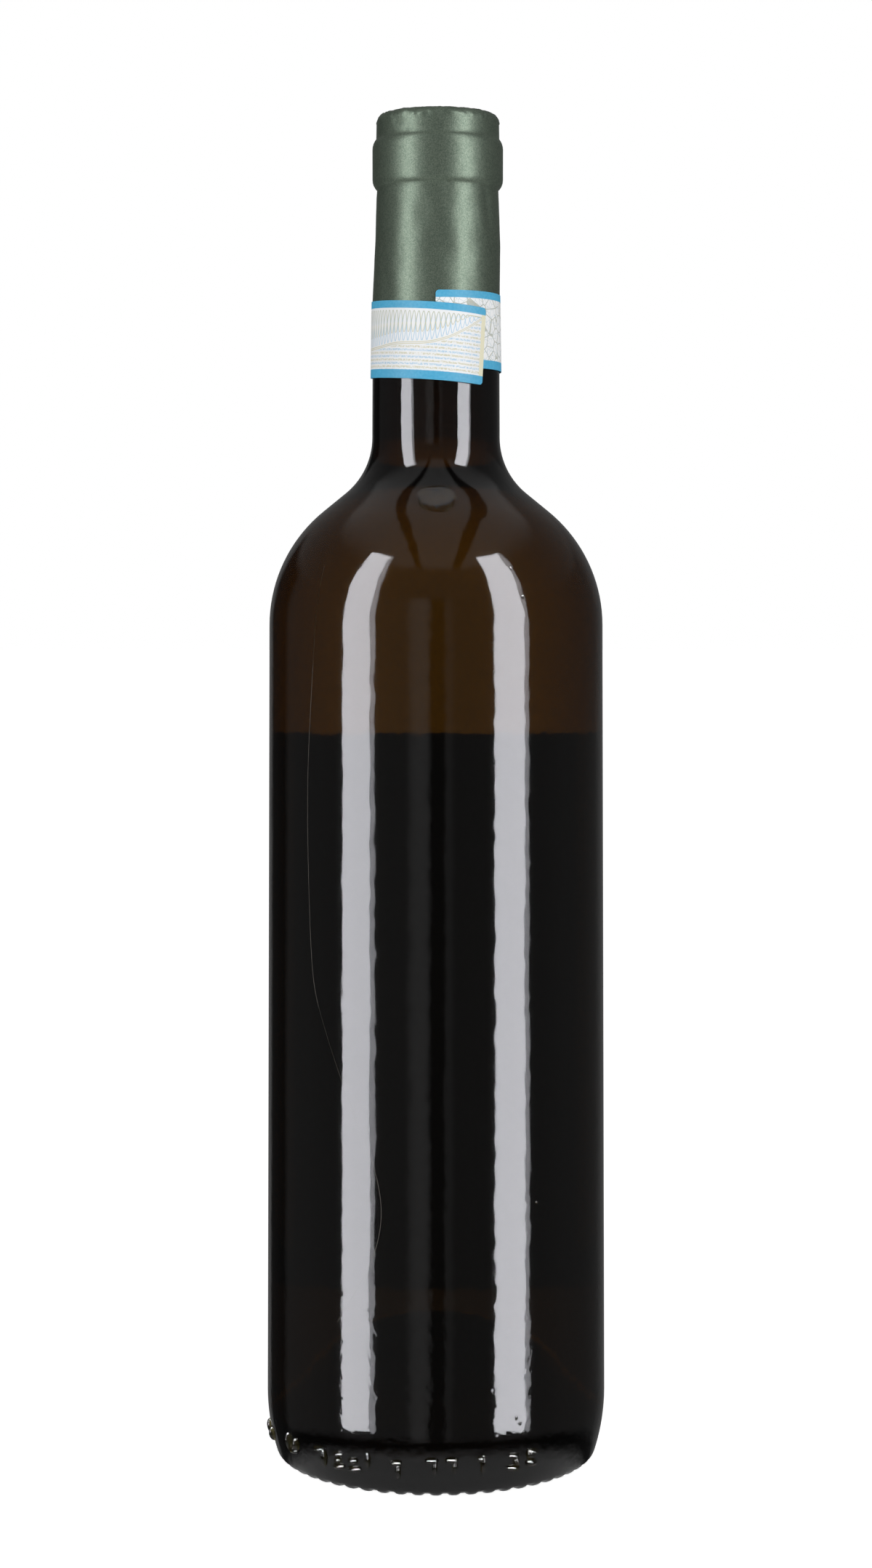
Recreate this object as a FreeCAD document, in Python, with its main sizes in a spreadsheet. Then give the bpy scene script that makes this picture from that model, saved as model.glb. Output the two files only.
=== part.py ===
"""Sealed wine bottle: glass, wine, foil capsule, paper neck strip and label.

Millimetres, +Z up.  The origin is the middle of the base, on the surface the
bottle stands on.  The label faces +Y, so -Y is the plain side.
"""
import FreeCAD, Part

import math
import os

import Sketcher

Vector = FreeCAD.Vector

# Driving sizes.  Each one can be changed by itself.
SIZES = {
    # body
    "body_radius": 38.25,       # at the top of the heel, the widest place
    "body_draft": 0.39,         # radius lost from the heel to the shoulder
    "shoulder_height": 188.0,   # where the body ends
    "shoulder_radius": 33.3,    # arc that turns the body inwards
    # neck
    "neck_radius": 14.5,        # at the neck's foot
    "neck_fillet": 20.0,        # hollow arc between shoulder and neck
    "neck_length": 54.8,        # from its foot to the bead
    "neck_draft": 0.95,         # radius lost over that length
    # bead and lip of the mouth
    "bead_proud": 1.05,         # how far the bead stands out from the neck
    "bead_lead": 2.3,           # height of the rounding under the bead
    "bead_height": 6.9,         # its upright face
    "lip_step": 0.85,           # how far the lip stands back from the bead
    "lip_lead": 2.3,            # height of the rounding over the bead
    "lip_height": 5.2,
    "lip_round": 1.0,
    # heel and base
    "heel_height": 15.0,
    "heel_radius": 36.0,
    "toe_radius": 2.5,          # small arc between heel and base ring
    "stand_width": 1.6,         # flat ring that the bottle stands on
    "foot_round": 8.0,          # arc from that ring into the punt
    "punt_depth": 29.0,
    "punt_slope": 60.0,         # degrees, side of the punt
    # inside
    "wall": 3.03,
    "neck_wall": 4.2,           # at the neck's foot
    "base_glass": 5.0,
    "trough_radius": 4.0,       # round the low ring inside the heel
    "bore_radius": 9.25,        # at the mouth
    "bore_round": 0.7,
    "bore_flare": 0.4,          # radius gained over the bore's depth
    "bore_depth": 45.0,
    "ullage": 56.6,             # from the mouth down to the wine
    "wine_fit": 0.05,
    # capsule
    "foil_gauge": 0.2,
    "foil_fit": 0.05,
    "capsule_length": 52.0,
    # paper strip over the capsule's edge
    "strip_height": 17.3,
    "strip_length": 104.0,
    "strip_gauge": 0.12,
    "strip_fit": 0.08,
    "strip_lean": 0.8,          # degrees that its start points upwards
    "strip_rise": 2.5,          # its middle above the capsule's edge
    # label
    "label_height": 130.0,
    "label_width": 92.0,
    "label_foot": 32.4,         # height of its lower edge
    "label_gauge": 0.15,
    "label_fit": 0.1,
}

# Places worked out from the sizes: distances from the axis and heights.
PLACES = {
    # heel and base ring
    "heel_centre": "sizes.body_radius - sizes.heel_radius",
    "toe_centre": "heel_centre + sqrt((sizes.heel_radius - sizes.toe_radius)^2"
                  " - (sizes.heel_height - sizes.toe_radius)^2)",
    "toe_share": "sizes.heel_radius / (sizes.heel_radius - sizes.toe_radius)",
    "toe_out": "heel_centre + (toe_centre - heel_centre) * toe_share",
    "toe_up": "sizes.heel_height - (sizes.heel_height - sizes.toe_radius) * toe_share",
    "ring_in": "toe_centre - sizes.stand_width",
    # punt: a cone with a rounded top
    "slope_sin": "sin(sizes.punt_slope * 1 deg)",
    "slope_cos": "cos(sizes.punt_slope * 1 deg)",
    "punt_mouth": "ring_in - sizes.foot_round * tan(sizes.punt_slope * 0.5 deg)",
    "punt_cap": "(punt_mouth * slope_sin - sizes.punt_depth * slope_cos) / (1 - slope_cos)",
    "punt_centre": "sizes.punt_depth - punt_cap",
    "cap_out": "punt_cap * slope_sin",
    "cap_up": "punt_centre + punt_cap * slope_cos",
    "foot_out": "ring_in - sizes.foot_round * slope_sin",
    "foot_up": "sizes.foot_round * (1 - slope_cos)",
    # shoulder and neck
    "body_top": "sizes.body_radius - sizes.body_draft",
    "shoulder_centre": "body_top - sizes.shoulder_radius",
    "fillet_centre": "sizes.neck_radius + sizes.neck_fillet",
    "neck_foot": "sizes.shoulder_height + sqrt((sizes.shoulder_radius + sizes.neck_fillet)^2"
                 " - (fillet_centre - shoulder_centre)^2)",
    "turn_share": "sizes.shoulder_radius / (sizes.shoulder_radius + sizes.neck_fillet)",
    "turn_out": "shoulder_centre + (fillet_centre - shoulder_centre) * turn_share",
    "turn_up": "sizes.shoulder_height + (neck_foot - sizes.shoulder_height) * turn_share",
    "neck_bow": "(sizes.neck_length^2 + sizes.neck_draft^2) / (2 * sizes.neck_draft)",
    # bead, lip and mouth
    "neck_top": "sizes.neck_radius - sizes.neck_draft",
    "bead_foot": "neck_foot + sizes.neck_length",
    "bead_out": "neck_top + sizes.bead_proud",
    "bead_low": "bead_foot + sizes.bead_lead",
    "bead_high": "bead_low + sizes.bead_height",
    "bead_foot_arc": "(sizes.bead_lead^2 + sizes.bead_proud^2) / (2 * sizes.bead_proud)",
    "lip_foot_arc": "(sizes.lip_lead^2 + sizes.lip_step^2) / (2 * sizes.lip_step)",
    "lip_out": "bead_out - sizes.lip_step",
    "lip_low": "bead_high + sizes.lip_lead",
    "mouth": "lip_low + sizes.lip_height",
    "lip_high": "mouth - sizes.lip_round",
    "lip_flat": "lip_out - sizes.lip_round",
    "bore_edge": "sizes.bore_radius + sizes.bore_round",
    "bore_top": "mouth - sizes.bore_round",
    "bore_end": "mouth - sizes.bore_depth",
    "bore_end_out": "sizes.bore_radius + sizes.bore_flare",
    # fill, capsule, strip and label
    "fill_height": "mouth - sizes.ullage",
    "capsule_edge": "mouth - sizes.capsule_length",
    "bow_centre": "sizes.neck_radius - neck_bow",
    "neck_at_edge": "bow_centre + sqrt(neck_bow^2 - (capsule_edge - neck_foot)^2)",
    "label_head": "sizes.label_foot + sizes.label_height",
    "side_slope": "sizes.body_draft / (sizes.shoulder_height - sizes.heel_height)",
    "body_at_foot": "sizes.body_radius - (sizes.label_foot - sizes.heel_height) * side_slope",
    "body_at_head": "sizes.body_radius - (label_head - sizes.heel_height) * side_slope",
    "label_angle": "sizes.label_width / sizes.body_radius * 180 / pi",
}

LINE = ("line", None)


def inside_places(name, inset):
    """Places along the cavity's outline, moved in from the glass by an inset."""
    return {
        f"{name}_floor": f"sizes.punt_depth + sizes.base_glass + {inset}",
        f"{name}_cap": f"punt_cap + sizes.base_glass + {inset}",
        f"{name}_cap_out": f"{name}_cap * slope_sin",
        f"{name}_cap_up": f"punt_centre + {name}_cap * slope_cos",
        f"{name}_wall": f"sizes.body_radius - sizes.wall - {inset}",
        f"{name}_wall_top": f"body_top - sizes.wall - {inset}",
        f"{name}_trough": f"sizes.trough_radius - {inset}",
        f"{name}_trough_centre": f"sizes.body_radius - sizes.wall - sizes.trough_radius",
        f"{name}_trough_up": f"{name}_cap_up + (sizes.trough_radius - {inset}"
                             f" - ({name}_trough_centre - {name}_cap_out) * slope_sin) / slope_cos",
        f"{name}_turn_out_low": f"{name}_trough_centre - {name}_trough * slope_sin",
        f"{name}_turn_up_low": f"{name}_trough_up - {name}_trough * slope_cos",
        f"{name}_shoulder": f"sizes.shoulder_radius - sizes.wall - {inset}",
        f"{name}_fillet": f"sizes.neck_fillet + sizes.wall + {inset}",
        f"{name}_neck": f"sizes.neck_radius - sizes.neck_wall - {inset}",
        f"{name}_turn": f"{name}_neck + {name}_fillet - shoulder_centre",
        f"{name}_foot": f"sizes.shoulder_height"
                        f" + sqrt(({name}_shoulder + {name}_fillet)^2 - {name}_turn^2)",
        f"{name}_share": f"{name}_shoulder / ({name}_shoulder + {name}_fillet)",
        f"{name}_turn_out": f"shoulder_centre + {name}_turn * {name}_share",
        f"{name}_turn_up": f"sizes.shoulder_height"
                           f" + ({name}_foot - sizes.shoulder_height) * {name}_share",
        f"{name}_at_fill": f"{name}_neck + (bore_end_out - {name}_neck - {inset})"
                           f" * (fill_height - {name}_foot) / (bore_end - {name}_foot)",
    }


def skin_places(name, out):
    """Places along a foil surface that lies a given distance out from the glass."""
    return {
        f"{name}_edge": f"neck_at_edge + {out}",
        f"{name}_neck_top": f"neck_top + {out}",
        f"{name}_bead": f"bead_out + {out}",
        f"{name}_lip": f"lip_out + {out}",
        f"{name}_round": f"sizes.lip_round + {out}",
        f"{name}_top": f"mouth + {out}",
    }


PLACES.update(inside_places("cavity", "0"))
PLACES.update(inside_places("wine", "sizes.wine_fit"))
PLACES.update(skin_places("foil_in", "sizes.foil_fit"))
PLACES.update(skin_places("foil_out", "sizes.foil_fit + sizes.foil_gauge"))


def make_sheet(doc, name, cells):
    sheet = doc.addObject("Spreadsheet::Sheet", name)
    for row, (alias, content) in enumerate(cells.items(), start=1):
        sheet.set(f"A{row}", alias)
        sheet.set(f"B{row}", content)
        sheet.setAlias(f"B{row}", alias)
    return sheet


def where(alias):
    """The expression path of an alias, in whichever sheet holds it."""
    return f"sizes.{alias}" if alias in SIZES else f"places.{alias}"


def value(doc, alias):
    sheet = doc.getObject("sizes" if alias in SIZES else "places")
    return float(sheet.get(alias))


def new_body(doc, label):
    body = doc.addObject("PartDesign::Body", label)
    body.Label = label
    return body


def new_sketch(body, name, role):
    sketch = body.newObject("Sketcher::SketchObject", name)
    plane = next(item for item in body.Origin.OriginFeatures if item.Role == role)
    sketch.AttachmentSupport = [(plane, "")]
    sketch.MapMode = "FlatFace"
    return sketch


def arc_between(start, end, radius, turn):
    """The short arc from start to end, turning anticlockwise (+1) or clockwise (-1)."""
    chord = end - start
    middle = (start + end) * 0.5
    rise = math.sqrt(max(radius ** 2 - (chord.Length / 2) ** 2, 0))
    left = Vector(-chord.y, chord.x, 0).normalize()
    centre = middle + left * rise * turn
    first, last = (start, end) if turn > 0 else (end, start)
    begin = math.atan2(first.y - centre.y, first.x - centre.x)
    finish = math.atan2(last.y - centre.y, last.x - centre.x)
    circle = Part.Circle(centre, Vector(0, 0, 1), radius)
    return Part.ArcOfCircle(circle, begin, finish)


def pin_point(sketch, edge, point, across, up):
    """Hold an edge's end at the named distance from the axis and height."""
    for alias, kind, axis in ((across, "DistanceX", -2), (up, "DistanceY", -1)):
        if alias is None:
            sketch.addConstraint(Sketcher.Constraint("PointOnObject", edge, point, axis))
            continue
        number = value(sketch.Document, alias)
        index = sketch.addConstraint(Sketcher.Constraint(kind, -1, 1, edge, point, number))
        sketch.setExpression(f"Constraints[{index}]", where(alias))


def draw_outline(sketch, corners):
    """Draw a closed outline.

    Each corner is (distance from the axis, height, how the edge that leaves it
    runs): None is a zero distance or height, and how is LINE or a turn with the
    name of the arc's radius.
    """
    doc = sketch.Document
    points = [
        Vector(value(doc, across) if across else 0, value(doc, up) if up else 0, 0)
        for across, up, _ in corners
    ]
    ends = []
    for here, (_, _, (turn, radius)) in enumerate(corners):
        start, end = points[here], points[(here + 1) % len(points)]
        if turn == "line":
            edge = sketch.addGeometry(Part.LineSegment(start, end))
            ends.append((edge, 1, 2))
            continue
        arc = arc_between(start, end, value(doc, radius), turn)
        edge = sketch.addGeometry(arc)
        ends.append((edge, 1, 2) if turn > 0 else (edge, 2, 1))
    for here, (across, up, _) in enumerate(corners):
        edge, first, _ = ends[here]
        before, _, last = ends[here - 1]
        sketch.addConstraint(Sketcher.Constraint("Coincident", before, last, edge, first))
        pin_point(sketch, edge, first, across, up)
    for here, (_, _, (turn, radius)) in enumerate(corners):
        if turn != "line":
            number = value(doc, radius)
            edge = ends[here][0]
            index = sketch.addConstraint(Sketcher.Constraint("Radius", edge, number))
            sketch.setExpression(f"Constraints[{index}]", where(radius))


def arc(turn, radius):
    return (turn, radius)


def revolve(body, kind, sketch, angle=None):
    """Turn a sketch about the bottle's axis."""
    feature = body.newObject(f"PartDesign::{kind}", f"{sketch.Name}_turned")
    feature.Profile = sketch
    feature.ReferenceAxis = (sketch, ["V_Axis"])
    if angle is None:
        feature.Angle = 360
    else:
        feature.Midplane = True
        feature.setExpression("Angle", where(angle))
    sketch.Visibility = False
    return feature


def inside_outline(name, mouth_corners):
    """Outline of the inside, from the floor over the punt up to the neck."""
    return [
        (None, f"{name}_floor", arc(-1, f"{name}_cap")),
        (f"{name}_cap_out", f"{name}_cap_up", LINE),
        (f"{name}_turn_out_low", f"{name}_turn_up_low", arc(1, f"{name}_trough")),
        (f"{name}_wall", f"{name}_trough_up", LINE),
        (f"{name}_wall_top", "shoulder_height", arc(1, f"{name}_shoulder")),
        (f"{name}_turn_out", f"{name}_turn_up", arc(-1, f"{name}_fillet")),
        (f"{name}_neck", f"{name}_foot", LINE),
    ] + mouth_corners


def make_bottle(doc):
    """The glass: a turned solid with the cavity and bore cut out of it."""
    body = new_body(doc, "bottle")
    outside = new_sketch(body, "outside", "XZ_Plane")
    draw_outline(outside, [
        (None, "punt_depth", arc(-1, "punt_cap")),
        ("cap_out", "cap_up", LINE),
        ("foot_out", "foot_up", arc(1, "foot_round")),
        ("ring_in", None, LINE),
        ("toe_centre", None, arc(1, "toe_radius")),
        ("toe_out", "toe_up", arc(1, "heel_radius")),
        ("body_radius", "heel_height", LINE),
        ("body_top", "shoulder_height", arc(1, "shoulder_radius")),
        ("turn_out", "turn_up", arc(-1, "neck_fillet")),
        ("neck_radius", "neck_foot", arc(1, "neck_bow")),
        ("neck_top", "bead_foot", arc(1, "bead_foot_arc")),
        ("bead_out", "bead_low", LINE),
        ("bead_out", "bead_high", arc(1, "lip_foot_arc")),
        ("lip_out", "lip_low", LINE),
        ("lip_out", "lip_high", arc(1, "lip_round")),
        ("lip_flat", "mouth", LINE),
        (None, "mouth", LINE),
    ])
    revolve(body, "Revolution", outside)
    inside = new_sketch(body, "inside", "XZ_Plane")
    draw_outline(inside, inside_outline("cavity", [
        ("bore_end_out", "bore_end", LINE),
        ("bore_radius", "bore_top", arc(-1, "bore_round")),
        ("bore_edge", "mouth", LINE),
        (None, "mouth", LINE),
    ]))
    revolve(body, "Groove", inside)
    return body


def make_wine(doc):
    """The wine, solid up to the level it is filled to."""
    body = new_body(doc, "wine")
    sketch = new_sketch(body, "filled", "XZ_Plane")
    draw_outline(sketch, inside_outline("wine", [
        ("wine_at_fill", "fill_height", LINE),
        (None, "fill_height", LINE),
    ]))
    revolve(body, "Revolution", sketch)
    return body


def make_capsule(doc):
    """The foil: a skirt drawn over bead and lip, with a disc over the mouth."""
    body = new_body(doc, "capsule")
    sketch = new_sketch(body, "foil", "XZ_Plane")
    draw_outline(sketch, [
        ("foil_in_edge", "capsule_edge", LINE),
        ("foil_out_edge", "capsule_edge", arc(1, "neck_bow")),
        ("foil_out_neck_top", "bead_foot", arc(1, "bead_foot_arc")),
        ("foil_out_bead", "bead_low", LINE),
        ("foil_out_bead", "bead_high", arc(1, "lip_foot_arc")),
        ("foil_out_lip", "lip_low", LINE),
        ("foil_out_lip", "lip_high", arc(1, "foil_out_round")),
        ("lip_flat", "foil_out_top", LINE),
        (None, "foil_out_top", LINE),
        (None, "foil_in_top", LINE),
        ("lip_flat", "foil_in_top", arc(-1, "foil_in_round")),
        ("foil_in_lip", "lip_high", LINE),
        ("foil_in_lip", "lip_low", arc(-1, "lip_foot_arc")),
        ("foil_in_bead", "bead_high", LINE),
        ("foil_in_bead", "bead_low", arc(-1, "bead_foot_arc")),
        ("foil_in_neck_top", "bead_foot", arc(-1, "neck_bow")),
    ])
    revolve(body, "Revolution", sketch)
    return body


def make_label(doc):
    """The label: paper that follows the body's slight taper, middle at +Y."""
    body = new_body(doc, "front_label")
    sketch = new_sketch(body, "paper", "YZ_Plane")
    draw_outline(sketch, [
        ("label_in_foot", "label_foot", LINE),
        ("label_out_foot", "label_foot", LINE),
        ("label_out_head", "label_head", LINE),
        ("label_in_head", "label_head", LINE),
    ])
    revolve(body, "Revolution", sketch, angle="label_angle")
    return body


for end in ("foot", "head"):
    PLACES[f"label_in_{end}"] = f"body_at_{end} + sizes.label_fit"
    PLACES[f"label_out_{end}"] = f"body_at_{end} + sizes.label_fit + sizes.label_gauge"


def strip_stations(doc, spans=72):
    """Corners of the strip's cross-section, station by station round the neck.

    A straight strip on a neck that narrows upwards runs down more and more as
    it goes round.  Its last stretch lies on top of its start.  Each station
    gives the four corners in order round the section.
    """
    def size(alias):
        return value(doc, alias)

    foot, bow = size("neck_foot"), size("neck_bow")
    middle = size("capsule_edge") + size("strip_rise")
    half, gauge = size("strip_height") / 2, size("strip_gauge")
    skin = size("foil_fit") + size("foil_gauge") + size("strip_fit")
    lean = math.tan(math.radians(size("strip_lean")))

    def neck_at(height):
        return size("bow_centre") + math.sqrt(bow ** 2 - (max(height, foot) - foot) ** 2)

    round_neck = neck_at(middle) + skin
    taper = (middle - foot) / bow
    lap = gauge + size("strip_fit")
    lap_climb = 6.0     # length over which the strip climbs onto its own start
    lap_margin = 1.5    # it is up this far before the start is reached
    climb_from = 2 * math.pi * round_neck - lap_margin - lap_climb
    stations = []
    for station in range(spans + 1):
        run = size("strip_length") * station / spans
        slope = lean - taper * run / round_neck
        line = middle + lean * run - taper * run ** 2 / (2 * round_neck)
        corners = []
        for up, out in ((-half, 0), (-half, gauge), (half, gauge), (half, 0)):
            along = run - up * slope
            share = min(max((along - climb_from) / lap_climb, 0), 1)
            radius = neck_at(line + up) + skin + lap * share * share * (3 - 2 * share) + out
            angle = along / round_neck - math.pi / 2
            corners.append(Vector(radius * math.cos(angle), radius * math.sin(angle), line + up))
        stations.append(corners)
    return stations


def make_strip(doc):
    """The paper strip: one turn and a lap, over the capsule's lower edge."""
    stations = strip_stations(doc)
    faces = []
    for here, there in zip(stations, stations[1:]):
        for corner in range(4):
            after = (corner + 1) % 4
            faces.append(Part.makeRuledSurface(
                Part.makeLine(here[corner], there[corner]),
                Part.makeLine(here[after], there[after]),
            ))
    for low_in, low_out, high_out, high_in in (stations[0], stations[-1]):
        faces.append(Part.makeRuledSurface(
            Part.makeLine(low_in, low_out), Part.makeLine(high_in, high_out)
        ))
    shell = Part.makeShell(faces)
    shell.sewShape()
    solid = Part.makeSolid(Part.Shell(shell.Faces))
    if solid.Volume < 0:
        solid.reverse()
    strip = doc.addObject("Part::Feature", "neck_strip")
    strip.Label = "neck_strip"
    strip.Shape = solid
    strip.Placement = FreeCAD.Placement()
    return strip


def check(doc, parts):
    """Stop on a failed object or a bad shape; print what each part measures."""
    for item in doc.Objects:
        if any(state in ("Invalid", "Error") for state in item.State):
            raise RuntimeError(f"{item.Label} failed: {item.State}")
    glass = doc.getObject("inside_turned")
    uncut = doc.getObject("outside_turned")
    if not glass.Shape.Volume < uncut.Shape.Volume * 0.6:
        raise RuntimeError("the cavity wasn't cut")
    for part in parts:
        shape = part.Shape
        if shape.isNull() or not shape.isValid() or len(shape.Solids) != 1:
            raise RuntimeError(f"{part.Label} isn't one valid solid")
        box = shape.BoundBox
        print(f"{part.Label:12s} {shape.Volume / 1000:9.3f} cm3, z {box.ZMin:.2f} to {box.ZMax:.2f},"
              f" x {box.XMin:.2f} to {box.XMax:.2f}, y {box.YMin:.2f} to {box.YMax:.2f}")


def main():
    doc = FreeCAD.newDocument("wine_bottle")
    make_sheet(doc, "sizes", {alias: str(number) for alias, number in SIZES.items()})
    make_sheet(doc, "places", {
        alias: "=" + formula for alias, formula in PLACES.items()
    })
    doc.recompute()
    parts = [
        make_bottle(doc),
        make_wine(doc),
        make_capsule(doc),
        make_strip(doc),
        make_label(doc),
    ]
    doc.recompute()
    check(doc, parts)
    os.makedirs("parts", exist_ok=True)
    for part in parts:
        part.Shape.exportStep(f"parts/{part.Label}.step")


main()
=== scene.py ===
"""A sealed wine bottle, standing with its plain side to the camera.

Olive glass, pale wine, a foil capsule, a printed paper strip round the neck and
a label on the far side.  Outlines are in millimetres from the middle of the
base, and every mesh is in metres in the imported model's frame.
"""
import math

import bpy
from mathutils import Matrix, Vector


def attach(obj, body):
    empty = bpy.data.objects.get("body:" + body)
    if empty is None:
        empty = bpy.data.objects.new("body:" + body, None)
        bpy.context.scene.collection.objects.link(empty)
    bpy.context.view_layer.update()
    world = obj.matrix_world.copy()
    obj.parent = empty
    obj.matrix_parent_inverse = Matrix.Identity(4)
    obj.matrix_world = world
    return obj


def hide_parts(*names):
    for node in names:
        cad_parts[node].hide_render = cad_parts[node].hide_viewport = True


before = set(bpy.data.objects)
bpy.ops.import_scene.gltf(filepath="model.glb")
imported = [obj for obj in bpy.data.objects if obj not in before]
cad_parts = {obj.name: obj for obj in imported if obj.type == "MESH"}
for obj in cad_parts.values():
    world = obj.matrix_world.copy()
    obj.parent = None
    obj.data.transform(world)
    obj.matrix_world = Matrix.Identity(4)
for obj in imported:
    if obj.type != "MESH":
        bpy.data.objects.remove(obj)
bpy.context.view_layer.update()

MM = 0.001

# Body and neck of the bottle.
BODY_RADIUS = 38.25
BODY_TAPER = 0.39 / 173.0
HEEL_HEIGHT = 15.0
HEEL_RADIUS = 43.2          # of the arc that turns the heel in
SHOULDER = (4.56, 188.0)    # centre of the shoulder's arc
SHOULDER_RADIUS = 33.3
NECK_FOOT = 232.1
NECK_RADIUS = 14.5
NECK_BOW = 1581.1           # the neck is very slightly bowed
NECK_LEAN = 0.4             # how far the top stands out of true, to the right
KNURLS = 56                 # bumps round the ring that the bottle stands on
STEPS_PER_KNURL = 8

# Mouth of the bottle: top of the neck, then the bead and the lip.
NECK_TOP = (13.55, 286.9)
BEAD_RADIUS = 14.6
BEAD_FOOT, BEAD_TOP = 289.2, 296.1
BEAD_ROUND_BELOW, BEAD_ROUND_ABOVE = 3.04, 3.54
LIP_RADIUS = 13.75
LIP_FOOT = 298.4

# Foil, strip and label.
FOIL_SKIN = 0.25            # outside of the foil, out from the glass
FOIL_GAUGE = 0.17
CAPSULE_EDGE = 251.6
STRIP_LENGTH, STRIP_HEIGHT, STRIP_GAUGE = 104.0, 17.3, 0.12
STRIP_MIDDLE = 254.1        # height of its middle line at the front
STRIP_SKIN = 0.33           # inside of the paper, out from the glass
STRIP_LEAN = 0.8            # degrees that it climbs as it goes round
LABEL_WIDTH, LABEL_HEIGHT, LABEL_GAUGE = 92.0, 130.0, 0.15
LABEL_MIDDLE = 97.4
LABEL_SKIN = 0.1


# ---------------------------------------------------------------- modelling

def neck_at(height):
    """Radius of the neck's glass at a height."""
    rise = max(height, NECK_FOOT) - NECK_FOOT
    return NECK_RADIUS - NECK_BOW + math.sqrt(NECK_BOW ** 2 - rise ** 2)


def body_at(height):
    """Radius of the outside, from the heel up to the neck."""
    if height < HEEL_HEIGHT:
        centre = BODY_RADIUS - HEEL_RADIUS
        return centre + math.sqrt(HEEL_RADIUS ** 2 - (HEEL_HEIGHT - height) ** 2)
    if height < SHOULDER[1]:
        return BODY_RADIUS - (height - HEEL_HEIGHT) * BODY_TAPER
    return SHOULDER[0] + math.sqrt(SHOULDER_RADIUS ** 2 - (height - SHOULDER[1]) ** 2)


def line_to(outline, end, steps=1):
    """Carry an outline straight on to a point."""
    start = outline[-1]
    for step in range(1, steps + 1):
        share = step / steps
        outline.append(tuple(a + (b - a) * share for a, b in zip(start, end)))


def arc_to(outline, end, radius, turn, steps):
    """Carry an outline on along an arc, turning left (+1) or right (-1)."""
    start = Vector(outline[-1])
    chord = Vector(end) - start
    rise = math.sqrt(max(radius ** 2 - chord.length_squared / 4, 0))
    left = Vector((-chord.y, chord.x)).normalized()
    centre = start + chord / 2 + left * rise * turn
    sweep = 2 * math.asin(min(chord.length / 2 / radius, 1)) * turn
    begin = math.atan2(start.y - centre.y, start.x - centre.x)
    for step in range(1, steps + 1):
        angle = begin + sweep * step / steps
        outline.append((centre.x + radius * math.cos(angle),
                        centre.y + radius * math.sin(angle)))


def deselect():
    bpy.ops.object.select_all(action="DESELECT")


def choose(piece):
    """Make a piece the only one selected."""
    deselect()
    piece.select_set(True)
    bpy.context.view_layer.objects.active = piece


def name_piece(piece, name):
    piece.name = name
    piece.data.name = name
    return piece


def smooth(piece, degrees=35):
    choose(piece)
    bpy.ops.object.shade_smooth_by_angle(angle=math.radians(degrees))


def select_where(piece, test):
    """Select the vertices whose place, in millimetres, passes a test."""
    bpy.ops.mesh.select_mode(type="VERT")
    bpy.ops.mesh.select_all(action="DESELECT")
    bpy.ops.object.mode_set(mode="OBJECT")
    for vertex in piece.data.vertices:
        vertex.select = test(vertex.co / MM)
    bpy.ops.object.mode_set(mode="EDIT")


def turn_piece(name, outline, steps):
    """Draw an outline from a single point and spin it into a closed piece."""
    deselect()
    bpy.ops.mesh.primitive_plane_add(size=MM)
    piece = name_piece(bpy.context.active_object, name)
    bpy.ops.object.mode_set(mode="EDIT")
    bpy.ops.mesh.select_all(action="SELECT")
    bpy.ops.mesh.merge(type="CENTER")
    out, up = outline[0]
    bpy.ops.transform.translate(value=(out * MM, 0, up * MM))
    for (out, up), (next_out, next_up) in zip(outline, outline[1:]):
        move = ((next_out - out) * MM, 0, (next_up - up) * MM)
        bpy.ops.mesh.extrude_region_move(TRANSFORM_OT_translate={"value": move})
    bpy.ops.mesh.select_all(action="SELECT")
    bpy.ops.mesh.spin(steps=steps, angle=math.tau, center=(0, 0, 0), axis=(0, 0, 1))
    bpy.ops.mesh.select_all(action="SELECT")
    bpy.ops.mesh.remove_doubles(threshold=0.004 * MM)
    bpy.ops.mesh.normals_make_consistent(inside=False)
    bpy.ops.object.mode_set(mode="OBJECT")
    return piece


def cut_sheet(name, width, height, corner, cuts):
    """A flat sheet of paper with rounded corners, scored across its width.

    It lies from (0, -height / 2) to (width, height / 2), with its own UV map
    in which 1 is the sheet's width.
    """
    deselect()
    bpy.ops.mesh.primitive_plane_add(size=1)
    piece = name_piece(bpy.context.active_object, name)
    bpy.ops.object.mode_set(mode="EDIT")
    bpy.ops.mesh.select_all(action="SELECT")
    bpy.ops.transform.resize(value=(width * MM, height * MM, 1))
    bpy.ops.transform.translate(value=(width / 2 * MM, 0, 0))
    bpy.ops.mesh.bevel(offset=corner * MM, segments=4, affect="VERTICES")
    for cut in range(1, cuts):
        bpy.ops.mesh.select_all(action="SELECT")
        bpy.ops.mesh.bisect(plane_co=(width * MM * cut / cuts, 0, 0),
                            plane_no=(1, 0, 0))
    bpy.ops.object.mode_set(mode="OBJECT")
    layer = piece.data.uv_layers.active.data
    for corner_loop in piece.data.loops:
        place = piece.data.vertices[corner_loop.vertex_index].co / (width * MM)
        layer[corner_loop.index].uv = (place.x, place.y + 0.5)
    return piece


def lean_neck(piece):
    """Lean a turned piece over a little above the middle of the neck."""
    for vertex in piece.data.vertices:
        share = min(max((vertex.co.z / MM - 258.0) / 20.0, 0), 1)
        vertex.co.x += NECK_LEAN * share * share * (3 - 2 * share) * MM


def apply_modifier(piece, kind, **settings):
    choose(piece)
    modifier = piece.modifiers.new(kind.title(), kind)
    for name, value in settings.items():
        setattr(modifier, name, value)
    bpy.ops.object.modifier_apply(modifier=modifier.name)


def join(name, pieces):
    choose(pieces[0])
    for piece in pieces[1:]:
        piece.select_set(True)
    bpy.ops.object.join()
    return name_piece(bpy.context.active_object, name)


def settle(piece):
    """Put a piece's place into its mesh, with its object at the origin."""
    choose(piece)
    bpy.ops.object.transform_apply(location=True, rotation=True, scale=True)


# ---------------------------------------------------------------- materials

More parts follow.
